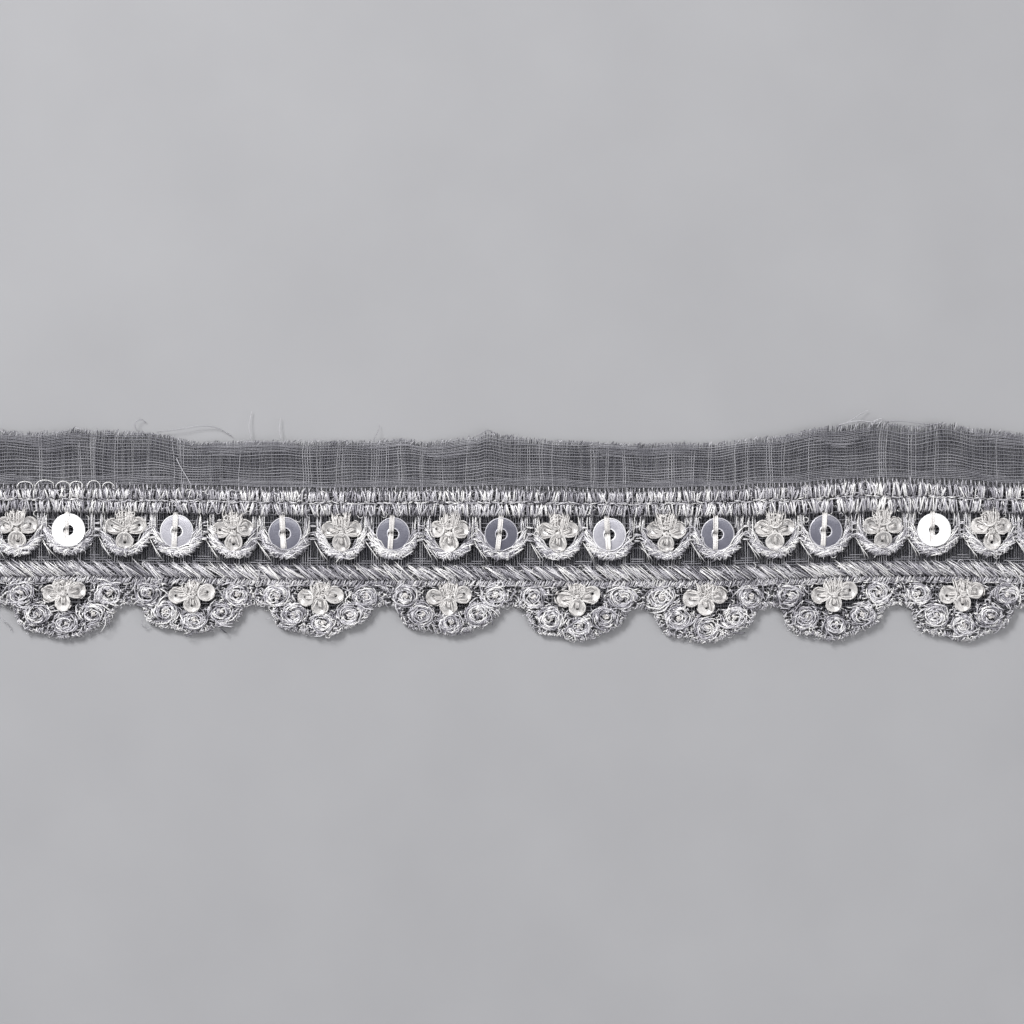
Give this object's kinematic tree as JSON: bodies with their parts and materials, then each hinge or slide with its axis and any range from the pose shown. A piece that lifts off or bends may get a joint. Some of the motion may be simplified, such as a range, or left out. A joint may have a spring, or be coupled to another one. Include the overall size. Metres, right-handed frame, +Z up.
{
  "type": "sequin trim",
  "caption": "Cut length of scalloped net edging with raised silver embroidery, loose pearl sequins and small sequin flowers.",
  "frame": {"origin": "on the surface it lies on, under the middle of its box", "axes": "+X along the length, +Y towards the raw net edge, +Z up, away from the surface"},
  "size_m": [0.1924, 0.0332, 0.003],
  "materials": {
    "embroidery": "lustrous silver-white stitching thread",
    "net": "fine open grey net",
    "cream_thread": "soft cream sewing thread",
    "sequin": "pearly silver",
    "flower": "pearly white, tied with cream thread"
  },
  "bodies": {
    "root": {"trim_base": "embroidery", "sequin_01": "sequin", "sequin_02": "sequin", "sequin_03": "sequin", "sequin_04": "sequin", "sequin_05": "sequin", "sequin_06": "sequin", "sequin_07": "sequin", "sequin_08": "sequin", "sequin_09": "sequin", "sequin_10": "sequin", "sequin_11": "sequin", "cup_flower_01": "flower", "cup_flower_02": "flower", "cup_flower_03": "flower", "cup_flower_04": "flower", "cup_flower_05": "flower", "cup_flower_06": "flower", "cup_flower_07": "flower", "cup_flower_08": "flower", "cup_flower_09": "flower", "cup_flower_10": "flower", "cup_flower_11": "flower", "cup_flower_12": "flower", "scallop_flower_01": "flower", "scallop_flower_02": "flower", "scallop_flower_03": "flower", "scallop_flower_04": "flower", "scallop_flower_05": "flower", "scallop_flower_06": "flower", "scallop_flower_07": "flower", "scallop_flower_08": "flower", "scallop_flower_09": "flower", "scallop_flower_10": "flower"}
  },
  "joints": []
}
